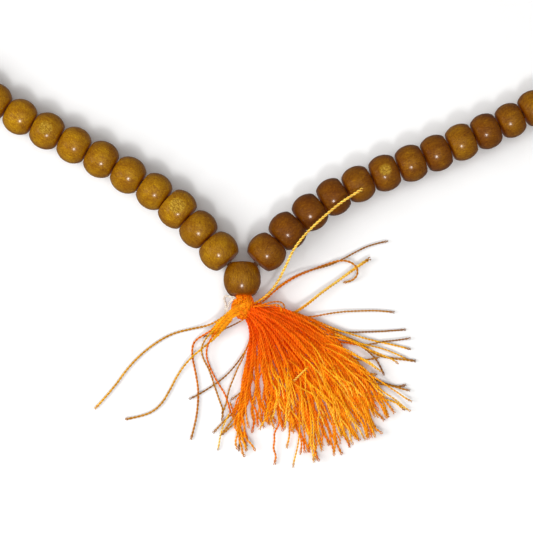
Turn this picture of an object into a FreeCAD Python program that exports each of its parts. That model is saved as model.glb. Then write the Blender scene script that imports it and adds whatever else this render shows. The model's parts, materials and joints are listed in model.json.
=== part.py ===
import FreeCAD, Part
import math
import os
from FreeCAD import Vector

# Mala prayer beads lying on a table: 108 counting beads and a guru bead on one cord, and a
# thread tassel under the guru bead. Millimetres, +Z up, the table at Z = 0. Every place below
# is measured from the middle of the guru bead; +Y leads away from the tassel into the loop.
# The finished model is moved so that its origin is under the middle of its box.
MODEL_MIDDLE = Vector(4.0, 97.0, 0)

# Counting beads: balls cut off at both ends of the bore, where they are slightly domed
BEADS_PER_SIDE = 54
BEAD_RADIUS = 4.0
BEAD_END_DOME = 0.32
BEAD_RIM_ROUND = 0.5
BORE_RADIUS = 1.0
BEAD_GAP = 0.2
RIGHT_PITCH = 5.95
SIZE_SPREAD = 0.08

# The beads nearest to the guru bead, from it outwards: radius, and the cord that each takes up
NEAR_BEADS = {
    "right": [
        (4.2, 6.4), (4.15, 6.35), (4.05, 6.2), (4.05, 5.9), (3.95, 6.2), (3.95, 6.1),
        (4.0, 6.0), (3.95, 5.85), (4.0, 5.9), (3.85, 5.85), (3.75, 5.7), (3.9, 5.8),
    ],
    "left": [
        (4.25, 6.6), (4.15, 6.3), (4.25, 6.2), (4.0, 6.5), (4.0, 6.8), (4.0, 6.7),
        (3.95, 6.6), (4.0, 6.6), (3.9, 6.6), (4.0, 6.6),
    ],
}
# How far from the middle of the guru bead each strand's first bead starts
STRAND_START = {"right": 4.75, "left": 4.6}
# Beads with a worn flat on top, and how much of the radius is gone there
WORN_FLATS = {("left", 3): 0.32, ("left", 8): 0.22, ("right", 6): 0.12}

# Guru bead, its axis along Y
GURU_RADIUS = 3.98
GURU_HALF_LENGTH = 3.65
GURU_END_RADIUS = 2.4
GURU_RIM_ROUND = 1.1
GURU_MOUTH_RADIUS = 1.5
GURU_MOUTH_DEPTH = 1.6

# Stringing cord, and the stretches that it is divided into, counted in beads
CORD_RADIUS = 0.6
CORD_HEIGHT = 4.0
STRETCHES = {"right": (4, 8, 10, 12, 10, 10), "left": (4, 6, 10, 12, 12, 10)}

# The cord's route on the table, as (x, y) from the guru bead
RIGHT_ROUTE = [
    (0.0, 0.0), (6.6, 7.5), (12.2, 12.9), (18.9, 17.7), (27.4, 22.0), (38.2, 26.0),
    (48.8, 30.7), (59.4, 35.5), (71.6, 42.3), (83.8, 52.4), (95.2, 65.8), (104.2, 82.6),
    (109.6, 102.6), (110.8, 124.4), (108.0, 146.4), (101.0, 167.6), (89.8, 187.0),
    (75.0, 203.4), (56.8, 216.0), (36.2, 224.2), (14.2, 228.2),
]
LEFT_ROUTE = [
    (0.0, 0.0), (-6.5, 8.0), (-15.6, 17.1), (-27.2, 24.5), (-38.6, 30.6), (-50.0, 36.6),
    (-61.8, 44.6), (-73.8, 56.6), (-85.6, 71.0), (-95.2, 88.6), (-101.0, 108.6),
    (-102.4, 130.6), (-99.2, 152.6), (-91.4, 173.8), (-79.6, 193.0), (-64.4, 208.8),
    (-46.4, 220.4), (-27.0, 227.2), (-6.6, 229.4),
]

# Tassel: a bound head under the guru bead and a skirt of threads that lies to the right
HEAD_CENTRE = Vector(-0.1, -6.9, 3.6)
HEAD_RADIUS = 2.1
NECK_TOP = 5.0
NECK_RADII = (1.15, 1.9)
NECK_STOP = 0.6
# The cord down to the tassel is parted where the tassel swings: distances from the guru's middle
GURU_CORD_END = 4.1
STEM_START = 4.55
STEM_END = 7.6
STEM_HOLE_RADIUS = 0.65
STEM_HOLE_END = 7.7
# Each section of the skirt: left edge, right edge, underside and thickness
SKIRT_SECTIONS = [
    ((0.9, -9.4), (4.6, -5.6), 1.2, 4.6),
    ((1.2, -13.2), (11.2, -8.4), 0.3, 4.3),
    ((1.2, -19.2), (19.3, -14.0), 0.0, 3.6),
    ((-0.8, -26.0), (26.4, -22.6), 0.0, 3.0),
    ((-2.6, -33.2), (30.6, -32.0), 0.0, 2.4),
    ((-1.4, -39.0), (28.6, -38.2), 0.0, 1.4),
]

# Loose threads
THREAD_RADIUS = 0.25
THIN_THREAD_RADIUS = 0.16

# Loose threads that run free for their whole length, as (x, y, z)
LONG_THREADS = {
    "thread_left_outer": [
        (-2.6, -6.9, 4.0), (-4.8, -8.6, 2.7), (-7.4, -9.6, 1.2), (-10.7, -10.1, 0.35),
        (-14.9, -11.1, 0.35), (-18.4, -13.1, 0.35), (-21.8, -15.8, 0.35),
        (-24.8, -19.1, 0.35), (-27.5, -23.1, 0.35), (-31.4, -27.4, 0.35),
    ],
    "thread_left_middle": [
        (-2.5, -7.7, 3.6), (-4.7, -9.7, 2.5), (-7.6, -11.2, 1.2), (-10.4, -12.8, 0.35),
        (-10.8, -15.4, 0.35), (-10.0, -19.2, 0.35), (-9.3, -23.0, 0.35),
        (-9.4, -26.8, 0.35), (-9.9, -30.4, 0.35), (-10.9, -34.0, 0.35),
    ],
    "thread_left_inner": [
        (-2.1, -8.5, 3.2), (-3.9, -10.4, 2.1), (-5.8, -12.2, 1.0), (-8.6, -14.5, 0.9),
        (-11.4, -16.9, 1.1), (-13.8, -20.1, 0.4), (-15.4, -23.4, 0.35),
        (-17.4, -26.8, 0.35), (-20.6, -28.9, 0.35), (-24.9, -29.6, 0.35),
    ],
    "thread_over_strand": [
        (2.5, -5.3, 3.8), (4.9, -3.9, 3.3), (7.3, -1.2, 4.0), (9.2, 2.2, 6.2),
        (10.9, 5.7, 8.6), (13.9, 9.4, 8.9), (17.9, 13.1, 8.9), (21.6, 16.2, 8.9),
        (25.7, 18.7, 8.7),
    ],
    "thread_hooked": [
        (2.7, -5.7, 3.0), (4.6, -4.5, 1.9), (7.4, -1.5, 0.7), (11.2, 1.1, 0.4),
        (15.0, 2.7, 0.4), (18.3, 3.9, 0.5), (21.1, 4.7, 1.1), (23.7, 4.1, 1.5),
        (25.0, 2.0, 1.5), (23.7, 0.1, 0.7), (21.6, -0.1, 0.4),
    ],
}
# Shorter loose threads beside the skirt
LEFT_THREADS = [
    [(-2.9, -11.6, 0.6), (-5.6, -13.5, 0.3), (-7.3, -16.5, 0.3), (-6.7, -20.1, 0.3),
     (-5.2, -23.9, 0.3), (-4.2, -27.2, 0.3), (-3.7, -30.4, 0.3)],
    [(-6.3, -15.3, 1.3), (-8.6, -18.1, 1.3), (-7.9, -21.3, 0.3), (-7.5, -24.6, 0.3),
     (-6.4, -28.2, 0.3)],
]
RIGHT_THREADS = [
    [(12.6, -7.4, 1.9), (15.1, -4.8, 0.9), (18.1, -2.2, 0.35), (20.9, 0.5, 0.35),
     (23.6, 2.9, 0.35), (27.7, 4.8, 0.35)],
    [(15.6, -9.4, 1.9), (18.6, -7.8, 0.7), (22.2, -7.2, 0.35), (26.5, -6.9, 0.35),
     (30.4, -6.8, 0.35), (33.6, -7.1, 0.35)],
    [(19.0, -11.8, 1.6), (22.6, -11.3, 0.5), (26.4, -11.6, 0.35), (30.3, -11.4, 0.35),
     (35.0, -10.9, 0.35)],
    [(21.0, -13.9, 1.4), (24.6, -13.5, 0.5), (28.6, -13.9, 0.35), (32.7, -14.6, 0.35),
     (36.6, -15.5, 0.35)],
    [(24.0, -16.9, 1.3), (27.2, -16.0, 0.5), (30.8, -16.6, 0.35), (34.0, -17.0, 0.35),
     (37.2, -17.9, 0.35)],
    [(28.4, -22.6, 1.1), (31.2, -22.4, 0.4), (34.4, -22.9, 0.35), (37.4, -23.9, 0.35)],
    [(30.4, -26.6, 1.0), (32.8, -26.2, 0.4), (35.4, -27.2, 0.35), (37.2, -29.0, 0.35)],
]
BRANCH_THREAD = [
    (14.2, 3.6, 1.2), (17.2, 5.2, 0.5), (20.9, 6.2, 0.35), (24.6, 6.6, 0.35),
    (28.2, 7.4, 0.35), (31.4, 8.6, 0.35),
]
# Short end of the stringing cord that shows at the neck
STRING_TAIL = [(-1.9, -5.3, 4.4), (-3.1, -5.2, 4.1), (-3.9, -6.0, 3.4), (-4.1, -7.4, 2.7)]

# How much of a route's run each arc may take, and the shortest piece of a path that is kept
ARC_SHARE = 0.45
SHORTEST_PIECE = 1e-6


def vectors(points, height=None):
    """The points of a route as vectors, at one height if it is given."""
    if height is None:
        return [Vector(*point) for point in points]
    return [Vector(x, y, height) for x, y in points]


def rounded_path(points, name=""):
    """Edges of a route: straight runs joined by arcs as large as the two runs allow."""
    edges = []
    radii = []
    reached = points[0]
    for before, corner, after in zip(points, points[1:], points[2:]):
        run_in = corner - before
        run_out = after - corner
        half_turn = run_in.getAngle(run_out) / 2
        cut = ARC_SHARE * min(run_in.Length, run_out.Length)
        radius = cut / math.tan(half_turn)
        radii.append(radius)
        run_in.normalize()
        run_out.normalize()
        inward = run_out - run_in
        inward.normalize()
        start = corner - run_in * cut
        middle = corner + inward * (radius / math.cos(half_turn) - radius)
        end = corner + run_out * cut
        edges.append(Part.LineSegment(reached, start).toShape())
        edges.append(Part.Arc(start, middle, end).toShape())
        reached = end
    edges.append(Part.LineSegment(reached, points[-1]).toShape())
    if name:
        print(f"{name}: radii from {min(radii):.1f} mm")
    return edges


def length_of(edges):
    return sum(edge.Length for edge in edges)


def place_along(edges, distance):
    """The point and the direction at a distance along the path."""
    for edge in edges:
        if distance <= edge.Length or edge is edges[-1]:
            at = edge.getParameterByLength(distance)
            return edge.valueAt(at), edge.tangentAt(at)
        distance -= edge.Length


def part_of(edges, start, end):
    """The stretch of the path between two distances along it."""
    kept = []
    for edge in edges:
        low = max(start, 0.0)
        high = min(end, edge.Length)
        if high - low > SHORTEST_PIECE:
            first = edge.getParameterByLength(low)
            last = edge.getParameterByLength(high)
            kept.append(edge.Curve.toShape(first, last))
        start -= edge.Length
        end -= edge.Length
    return kept


def tube(edges, radius, name=""):
    """A round tube along the edges."""
    path = Part.Wire(edges)
    start = path.OrderedEdges[0]
    direction = start.tangentAt(start.FirstParameter)
    section = Part.Wire(Part.makeCircle(radius, start.valueAt(start.FirstParameter), direction))
    solid = path.makePipeShell([section], True, False)
    expected = math.pi * radius**2 * path.Length
    if name:
        print(f"{name}: {path.Length:.1f} mm long, volume {solid.Volume / expected:.3f} of expected")
    return solid


def thread(points, name, radius=THREAD_RADIUS):
    return tube(rounded_path(vectors(points), name), radius, name)


def outline_of_barrel(radius, half_length, end_radius, bore):
    """Half outline of a barrel about the X axis, with domed ends."""
    shoulder = half_length - BEAD_END_DOME
    halfway = (bore + end_radius) / 2
    crown = half_length - BEAD_END_DOME * ((halfway - bore) / (end_radius - bore)) ** 2
    right_end = Part.Arc(
        Vector(half_length, 0, bore), Vector(crown, 0, halfway), Vector(shoulder, 0, end_radius)
    )
    side = Part.Arc(
        Vector(shoulder, 0, end_radius), Vector(0, 0, radius), Vector(-shoulder, 0, end_radius)
    )
    left_end = Part.Arc(
        Vector(-shoulder, 0, end_radius), Vector(-crown, 0, halfway), Vector(-half_length, 0, bore)
    )
    closing = Part.LineSegment(Vector(-half_length, 0, bore), Vector(half_length, 0, bore))
    return Part.Wire([curve.toShape() for curve in (right_end, side, left_end, closing)])


def barrel(radius, half_length, end_radius, bore, rim_round):
    """A barrel about the X axis, its rims rounded."""
    outline = outline_of_barrel(radius, half_length, end_radius, bore)
    body = Part.Face(outline).revolve(Vector(0, 0, 0), Vector(1, 0, 0), 360)
    rims = [
        edge for edge in body.Edges
        if not edge.Degenerated and isinstance(edge.Curve, Part.Circle)
        and abs(edge.Curve.Radius - end_radius) < 0.01
    ]
    return body.makeFillet(rim_round, rims)


def turned(shape, direction, centre):
    """The shape with its X axis turned along a level direction, and moved to a centre."""
    shape.rotate(Vector(0, 0, 0), Vector(0, 0, 1), math.degrees(math.atan2(direction.y, direction.x)))
    shape.translate(centre)
    return shape


def bead_radius(side, number):
    near = NEAR_BEADS[side]
    if number <= len(near):
        return near[number - 1][0]
    return BEAD_RADIUS + SIZE_SPREAD * math.sin(2.4 * number)


def gaps(side, pitch):
    """How far along its strand each gap is: before each bead, and after the last."""
    near = [cord for radius, cord in NEAR_BEADS[side]]
    places = [STRAND_START[side]]
    for cord in near + [pitch] * (BEADS_PER_SIDE - len(near)):
        places.append(places[-1] + cord)
    return places


def counting_bead(side, number, path, places, length):
    """One bead on its side's strand, resting on the table."""
    radius = bead_radius(side, number)
    start, end = places[number - 1:number + 1]
    distance = (start + end) / 2
    if side == "left":
        distance = length - distance
    centre, direction = place_along(path, distance)
    half_length = (end - start - BEAD_GAP) / 2
    end_radius = math.sqrt(radius ** 2 - (half_length - BEAD_END_DOME) ** 2)
    bead = barrel(radius, half_length, end_radius, BORE_RADIUS, BEAD_RIM_ROUND)
    if (side, number) in WORN_FLATS:
        worn = WORN_FLATS[(side, number)]
        size = 2 * radius
        knife = Part.makeBox(size, size, size, Vector(-radius, -radius, radius - worn))
        bead = bead.cut(knife)
    return turned(bead, direction, Vector(centre.x, centre.y, radius))


def cylinder_between(start, end, radius):
    along = end - start
    return Part.makeCylinder(radius, along.Length, start, along)


def guru_bead(right_leg, left_leg):
    """The guru bead with three holes: one to each strand, and a wide one for the tassel."""
    bead = barrel(GURU_RADIUS, GURU_HALF_LENGTH, GURU_END_RADIUS, 0.0, GURU_RIM_ROUND)
    bead.rotate(Vector(0, 0, 0), Vector(0, 0, 1), 90)
    bead.translate(Vector(0, 0, CORD_HEIGHT))
    middle = Vector(0, 0, CORD_HEIGHT)
    below = Vector(0, -2 * GURU_RADIUS, 0)
    mouth_start = Vector(0, GURU_MOUTH_DEPTH - GURU_HALF_LENGTH, CORD_HEIGHT)
    holes = [
        cylinder_between(middle, middle + right_leg * 2 * GURU_RADIUS, BORE_RADIUS),
        cylinder_between(middle, middle + left_leg * 2 * GURU_RADIUS, BORE_RADIUS),
        cylinder_between(middle, middle + below, BORE_RADIUS),
        cylinder_between(mouth_start, mouth_start + below, GURU_MOUTH_RADIUS),
        Part.makeSphere(BORE_RADIUS, middle),
    ]
    for hole in holes:
        bead = bead.cut(hole)
    return bead


def guru_cord(right_leg, left_leg):
    """The cord inside the guru bead: a leg to each strand and one down to the tassel.

    Each leg is a vector from the middle of the bead to the leg's end.
    """
    middle = Vector(0, 0, CORD_HEIGHT)
    end = Vector(0, -GURU_CORD_END, CORD_HEIGHT)
    cord = Part.makeSphere(CORD_RADIUS, middle)
    for tip in (middle + right_leg, middle + left_leg, end):
        cord = cord.fuse(cylinder_between(middle, tip, CORD_RADIUS))
    return cord.removeSplitter()


def tassel_head():
    """The bound head of the tassel with its short neck, hollow for the cord's end."""
    ball = Part.makeSphere(HEAD_RADIUS, HEAD_CENTRE)
    top = Vector(0, -NECK_TOP, CORD_HEIGHT)
    down = HEAD_CENTRE - top
    neck = Part.makeCone(NECK_RADII[0], NECK_RADII[1], down.Length - NECK_STOP, top, down)
    hole_end = Vector(0, -STEM_HOLE_END, CORD_HEIGHT)
    hole = cylinder_between(Vector(0, 0, CORD_HEIGHT), hole_end, STEM_HOLE_RADIUS)
    return ball.fuse(neck).cut(hole).removeSplitter()


def tassel_stem():
    """The cord's end between the guru bead and the tassel's head."""
    start = Vector(0, -STEM_START, CORD_HEIGHT)
    end = Vector(0, -STEM_END, CORD_HEIGHT)
    return cylinder_between(start, end, CORD_RADIUS)


def skirt_section(left, right, underside, thickness):
    """One upright oval section of the skirt."""
    left = Vector(left[0], left[1], 0)
    right = Vector(right[0], right[1], 0)
    centre = (left + right) / 2
    centre.z = underside + thickness / 2
    across = (right - left) / 2
    upward = Vector(0, 0, thickness / 2)
    oval = Part.Ellipse(centre + across, centre + upward, centre)
    return Part.Wire([oval.toBSpline().toShape()])


def tassel_skirt():
    """The skirt's threads as one closed body that lies on the table."""
    return Part.makeLoft([skirt_section(*section) for section in SKIRT_SECTIONS], True, False)


def strand(side, path, places, length, nodes):
    """Beads and cord of one side of the loop, stretch by stretch."""
    number = 1
    for index, count in enumerate(STRETCHES[side], start=1):
        group = []
        first = number
        for number in range(first, first + count):
            bead = counting_bead(side, number, path, places, length)
            if number <= len(NEAR_BEADS[side]):
                nodes[f"bead_{side}_{number:02d}"] = bead
            else:
                group.append(bead)
        number += 1
        if group:
            nodes[f"beads_{side}_{index}"] = Part.makeCompound(group)
        start = places[first - 1] + BEAD_GAP / 2
        end = places[number - 1] - BEAD_GAP / 2
        if side == "left":
            start, end = length - end, length - start
        nodes[f"cord_{side}_{index}"] = tube(
            part_of(path, start, end), CORD_RADIUS, f"cord_{side}_{index}"
        )


def build():
    """Every node by name, measured from the middle of the guru bead."""
    loop = vectors(RIGHT_ROUTE + LEFT_ROUTE[::-1], CORD_HEIGHT)
    path = rounded_path(loop, "loop")
    length = length_of(path)
    right_places = gaps("right", RIGHT_PITCH)
    near_left = gaps("left", 0)[-1]
    left_pitch = (length - right_places[-1] - near_left) / (BEADS_PER_SIDE - len(NEAR_BEADS["left"]))
    left_places = gaps("left", left_pitch)
    print(f"loop: {length:.1f} mm round, left pitch {left_pitch:.3f} mm")
    right_leg = (loop[1] - loop[0]).normalize()
    left_leg = (loop[-2] - loop[-1]).normalize()
    nodes = {
        "guru_bead": guru_bead(right_leg, left_leg),
        "guru_cord": guru_cord(
            right_leg * (right_places[0] - BEAD_GAP / 2),
            left_leg * (left_places[0] - BEAD_GAP / 2),
        ),
    }
    strand("right", path, right_places, length, nodes)
    strand("left", path, left_places, length, nodes)
    nodes["tassel_head"] = tassel_head()
    nodes["tassel_stem"] = tassel_stem()
    nodes["tassel_skirt"] = tassel_skirt()
    nodes["string_tail"] = thread(STRING_TAIL, "string_tail")
    for name, route in LONG_THREADS.items():
        nodes[name] = thread(route, name)
    nodes["threads_left"] = Part.makeCompound(
        [thread(route, "threads_left", THIN_THREAD_RADIUS) for route in LEFT_THREADS]
    )
    nodes["threads_right"] = Part.makeCompound(
        [thread(route, "threads_right", THIN_THREAD_RADIUS) for route in RIGHT_THREADS]
    )
    nodes["thread_branch"] = thread(BRANCH_THREAD, "thread_branch", THIN_THREAD_RADIUS)
    return nodes


def main():
    os.makedirs("parts", exist_ok=True)
    for name, shape in build().items():
        shape.translate(-MODEL_MIDDLE)
        if not shape.isValid():
            print(f"{name} is not valid")
        shape.exportStep(f"parts/{name}.step")


main()
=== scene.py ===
import json
import math

import bpy
import numpy as np
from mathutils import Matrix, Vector


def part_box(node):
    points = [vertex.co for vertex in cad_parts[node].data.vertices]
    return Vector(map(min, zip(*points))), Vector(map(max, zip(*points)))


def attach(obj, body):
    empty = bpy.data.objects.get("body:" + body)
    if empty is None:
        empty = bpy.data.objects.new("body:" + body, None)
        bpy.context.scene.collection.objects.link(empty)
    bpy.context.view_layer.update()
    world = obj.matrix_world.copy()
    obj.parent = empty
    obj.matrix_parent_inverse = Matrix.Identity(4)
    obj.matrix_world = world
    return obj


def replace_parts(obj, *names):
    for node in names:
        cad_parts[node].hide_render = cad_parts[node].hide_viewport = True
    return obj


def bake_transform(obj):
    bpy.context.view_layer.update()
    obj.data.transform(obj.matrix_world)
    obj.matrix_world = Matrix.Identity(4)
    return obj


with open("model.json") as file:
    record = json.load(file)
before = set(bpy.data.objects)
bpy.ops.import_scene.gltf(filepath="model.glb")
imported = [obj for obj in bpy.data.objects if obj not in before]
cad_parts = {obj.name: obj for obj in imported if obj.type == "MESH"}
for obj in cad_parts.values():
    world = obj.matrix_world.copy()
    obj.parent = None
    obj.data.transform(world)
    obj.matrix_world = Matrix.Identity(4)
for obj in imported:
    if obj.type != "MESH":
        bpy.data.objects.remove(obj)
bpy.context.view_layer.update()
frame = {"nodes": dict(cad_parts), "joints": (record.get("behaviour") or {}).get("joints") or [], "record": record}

MM = 0.001
TAU = 2 * math.pi


def middle_of(node):
    low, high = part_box(node)
    return (Vector(low) + Vector(high)) / 2


# Places are measured from the middle of the guru bead, on the table, as in the CAD model.
GURU = middle_of("guru_bead")
BASE = Vector((GURU.x, GURU.y, 0.0))


def place(point):
    """A point in millimetres from the guru bead, as a place in the frame."""
    return BASE + Vector(point) * MM


# ---------------------------------------------------------------- camera

VIEW_WIDTH = 0.1137
VIEW_CENTRE = (5.2, 2.75, 4.0)
VIEW_ELEVATION = math.radians(80)
VIEW_DISTANCE = 0.75
SENSOR = 36.0


def make_camera():
    data = bpy.data.cameras.new("camera")
    data.sensor_width = SENSOR
    data.lens = SENSOR * VIEW_DISTANCE / VIEW_WIDTH
    data.clip_start = 0.01
    data.clip_end = 20
    camera = bpy.data.objects.new("camera", data)
    bpy.context.scene.collection.objects.link(camera)
    back = Vector((0, -math.cos(VIEW_ELEVATION), math.sin(VIEW_ELEVATION)))
    camera.location = place(VIEW_CENTRE) + back * VIEW_DISTANCE
    camera.rotation_mode = "QUATERNION"
    camera.rotation_quaternion = (-back).to_track_quat("-Z", "Y")
    bpy.context.scene.camera = camera


# ---------------------------------------------------------------- node materials


def new_material(name):
    material = bpy.data.materials.new(name)
    material.use_nodes = True
    tree = material.node_tree
    return material, tree, tree.nodes["Principled BSDF"]


def add(tree, kind, **settings):
    """A shader node with its properties set."""
    node = tree.nodes.new(kind)
    for key, value in settings.items():
        setattr(node, key, value)
    return node


def attribute(tree, name):
    return add(tree, "ShaderNodeAttribute", attribute_name=name)


def scaled(tree, value, factor):
    node = add(tree, "ShaderNodeMath", operation="MULTIPLY")
    tree.links.new(value, node.inputs[0])
    node.inputs[1].default_value = factor
    return node.outputs[0]


def ramp(tree, factor, stops):
    node = add(tree, "ShaderNodeValToRGB")
    elements = node.color_ramp.elements
    while len(elements) < len(stops):
        elements.new(0.5)
    for element, (position, colour) in zip(elements, stops):
        element.position = position
        element.color = (*colour, 1)
    tree.links.new(factor, node.inputs[0])
    return node.outputs[0]


def mix(tree, factor, first, second, blend="MIX"):
    node = add(tree, "ShaderNodeMix", data_type="RGBA", blend_type=blend)
    for index, value in ((0, factor), (6, first), (7, second)):
        socket = node.inputs[index]
        if isinstance(value, (int, float)):
            socket.default_value = value
        elif isinstance(value, tuple):
            socket.default_value = (*value, 1)
        else:
            tree.links.new(value, socket)
    return node.outputs[2]


def stretched(tree, vector, scale):
    node = add(tree, "ShaderNodeVectorMath", operation="MULTIPLY")
    tree.links.new(vector, node.inputs[0])
    node.inputs[1].default_value = scale
    return node.outputs[0]


def noise(tree, vector, scale, detail=3.0, roughness=0.55, distortion=0.0):
    node = add(tree, "ShaderNodeTexNoise")
    node.inputs["Scale"].default_value = scale
    node.inputs["Detail"].default_value = detail
    node.inputs["Roughness"].default_value = roughness
    node.inputs["Distortion"].default_value = distortion
    tree.links.new(vector, node.inputs["Vector"])
    return node.outputs["Fac"]


def bump(tree, shader, height, strength, distance, after=None):
    node = add(tree, "ShaderNodeBump")
    node.inputs["Strength"].default_value = strength
    node.inputs["Distance"].default_value = distance
    tree.links.new(height, node.inputs["Height"])
    if after is not None:
        tree.links.new(after, node.inputs["Normal"])
    tree.links.new(node.outputs[0], shader.inputs["Normal"])
    return node.outputs[0]


# Noise cells per metre along and across the grain
FIBRE_CELLS = (700, 2600, 2600)
FLECK_CELLS = (2600, 5600, 5600)
BAND_CELLS = (110, 420, 420)
CLOUD_CELLS = (300, 300, 300)
# How far the lighter scratched colour covers a rubbed flat, partly the wood's own colour under the lacquer and
# partly a painted highlight, and the colour of the end faces by the bore, partly the end grain's own dark colour
# and partly painted shade of the creases between beads
RUBBED_AND_HIGHLIGHT_SHARE = 0.85
END_GRAIN_AND_CREASE_SHADE = (0.240, 0.060, 0.002)
# Tint of the reflections, and the share of its own colour that the wood gives off
WOOD_TINT = (1.0, 0.72, 0.34, 1)
WOOD_GLOW = (0.18, 0.10, 0.0)


def wood_material():
    """Lacquered close-grained wood. The grain runs along each bead's own axis.

    Mesh attributes: grain is the place inside the bead with its axis along X, tone is the
    lightness, lowered towards each bead's ends as painted shade of the creases, worn is 1 on the
    end faces by the bore, whose dark colour is partly the end grain's own and partly painted shade
    of the creases, and rubbed is 1 on a flat rubbed through the lacquer, whose lighter colour is
    partly the wood's own and partly a painted highlight. The faint brown emission stands for
    light that the lacquer and the next beads scatter into the creases.
    """
    material, tree, shader = new_material("lacquered_wood")
    grain = attribute(tree, "grain").outputs["Vector"]
    tone = attribute(tree, "tone").outputs["Fac"]
    end_grain_and_crease_shade = attribute(tree, "end_grain_and_crease_shade").outputs["Fac"]
    rubbed = attribute(tree, "rubbed").outputs["Fac"]
    fibres = noise(tree, stretched(tree, grain, FIBRE_CELLS), 1.0, 4.0, 0.62, 0.3)
    flecks = noise(tree, stretched(tree, grain, FLECK_CELLS), 1.0, 2.0, 0.5)
    bands = noise(tree, stretched(tree, grain, BAND_CELLS), 1.0, 3.0, 0.5, 0.8)
    clouds = noise(tree, stretched(tree, grain, CLOUD_CELLS), 1.0, 2.0, 0.5)
    base = ramp(tree, tone, [
        (0.0, (0.060, 0.016, 0.0006)),
        (0.4, (0.165, 0.054, 0.0010)),
        (0.8, (0.300, 0.143, 0.0020)),
        (1.0, (0.375, 0.190, 0.0030)),
    ])
    fibre = ramp(tree, fibres, [
        (0.28, (0.66, 0.56, 0.48)),
        (0.48, (0.96, 0.94, 0.90)),
        (0.72, (1.20, 1.30, 1.35)),
    ])
    colour = mix(tree, 1.0, base, fibre, "MULTIPLY")
    band = ramp(tree, bands, [
        (0.30, (0.80, 0.72, 0.66)),
        (0.52, (1, 1, 1)),
        (0.75, (1.08, 1.14, 1.15)),
    ])
    colour = mix(tree, 1.0, colour, band, "MULTIPLY")
    cloud = ramp(tree, clouds, [(0.3, (0.84, 0.74, 0.66)), (0.7, (1.10, 1.14, 1.14))])
    colour = mix(tree, 1.0, colour, cloud, "MULTIPLY")
    # Dark pores and pale flecks; the pale flecks are partly the wood's own and partly painted glints of its
    # shimmer
    pores_and_glints = ramp(tree, flecks, [
        (0.30, (0.58, 0.46, 0.40)),
        (0.45, (0.96, 0.95, 0.94)),
        (0.58, (1, 1, 1)),
        (0.70, (1.45, 1.65, 2.2)),
    ])
    colour = mix(tree, 1.0, colour, pores_and_glints, "MULTIPLY")
    # Rubbed flats are lighter: partly the wood's own colour where the lacquer is rubbed through, partly a painted
    # highlight on the flat top
    rubbed_wood_and_highlight = ramp(tree, flecks, [
        (0.34, (0.160, 0.075, 0.002)),
        (0.50, (0.330, 0.185, 0.006)),
        (0.66, (0.560, 0.380, 0.040)),
    ])
    colour = mix(tree, scaled(tree, rubbed, RUBBED_AND_HIGHLIGHT_SHARE), colour, rubbed_wood_and_highlight)
    # Dark end faces by the bore: partly the end grain's own colour, partly painted shade of the creases between
    # beads
    colour = mix(tree, end_grain_and_crease_shade, colour, END_GRAIN_AND_CREASE_SHADE)
    tree.links.new(colour, shader.inputs["Base Color"])
    rough = ramp(tree, flecks, [(0.3, (0.50, 0.50, 0.50)), (0.7, (0.34, 0.34, 0.34))])
    tree.links.new(rough, shader.inputs["Roughness"])
    shader.inputs["Specular IOR Level"].default_value = 0.28
    shader.inputs["Specular Tint"].default_value = WOOD_TINT
    glow = mix(tree, 1.0, colour, WOOD_GLOW, "MULTIPLY")
    tree.links.new(glow, shader.inputs["Emission Color"])
    shader.inputs["Emission Strength"].default_value = 1.0
    shader.inputs["Coat Weight"].default_value = 0.7
    shader.inputs["Coat Roughness"].default_value = 0.2
    shader.inputs["Coat IOR"].default_value = 1.6
    first = bump(tree, shader, fibres, 0.45, 0.00008)
    bump(tree, shader, flecks, 0.45, 0.00005, first)
    return material


# Tints of the threads' sheen and reflections
THREAD_SHEEN = (1.0, 0.38, 0.02, 1)
THREAD_TINT = (1.0, 0.66, 0.16, 1)


def thread_material(name, sheen, roughness, through):
    """Glossy two-ply thread, its colour in the mesh attribute tint.

    The faint emission, through, stands for the light that passes through the fibres.
    """
    material, tree, shader = new_material(name)
    tint = attribute(tree, "tint").outputs["Color"]
    where = add(tree, "ShaderNodeTexCoord").outputs["Object"]
    fuzz = noise(tree, where, 5200.0, 2.0, 0.6)
    patches = noise(tree, where, 700.0, 2.0, 0.5)
    shade = ramp(tree, fuzz, [
        (0.25, (0.62, 0.52, 0.45)),
        (0.5, (1, 1, 1)),
        (0.75, (1.16, 1.2, 1.25)),
    ])
    colour = mix(tree, 1.0, tint, shade, "MULTIPLY")
    slub = ramp(tree, patches, [(0.3, (0.80, 0.74, 0.70)), (0.65, (1.05, 1.08, 1.08))])
    colour = mix(tree, 1.0, colour, slub, "MULTIPLY")
    tree.links.new(colour, shader.inputs["Base Color"])
    tree.links.new(
        ramp(tree, fuzz, [(0.3, (roughness + 0.1,) * 3), (0.7, (roughness - 0.08,) * 3)]),
        shader.inputs["Roughness"],
    )
    glow = mix(tree, 1.0, colour, through, "MULTIPLY")
    tree.links.new(glow, shader.inputs["Emission Color"])
    shader.inputs["Emission Strength"].default_value = 1.0
    shader.inputs["Sheen Weight"].default_value = sheen
    shader.inputs["Sheen Roughness"].default_value = 0.4
    shader.inputs["Sheen Tint"].default_value = THREAD_SHEEN
    shader.inputs["Specular IOR Level"].default_value = 0.9
    shader.inputs["Specular Tint"].default_value = THREAD_TINT
    bump(tree, shader, fuzz, 0.4, 0.00005)
    return material


def string_material(name, dark, light):
    """Plain cotton string, for the stretches of cord that show only in the gaps; the colours given to it are
    painted shade of those gaps.
    """
    material, tree, shader = new_material(name)
    where = add(tree, "ShaderNodeTexCoord").outputs["Object"]
    fuzz = noise(tree, where, 3600.0, 3.0, 0.6)
    tree.links.new(ramp(tree, fuzz, [(0.3, dark), (0.7, light)]), shader.inputs["Base Color"])
    shader.inputs["Roughness"].default_value = 0.75
    shader.inputs["Sheen Weight"].default_value = 0.3
    bump(tree, shader, fuzz, 0.5, 0.00008)
    return material


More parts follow.
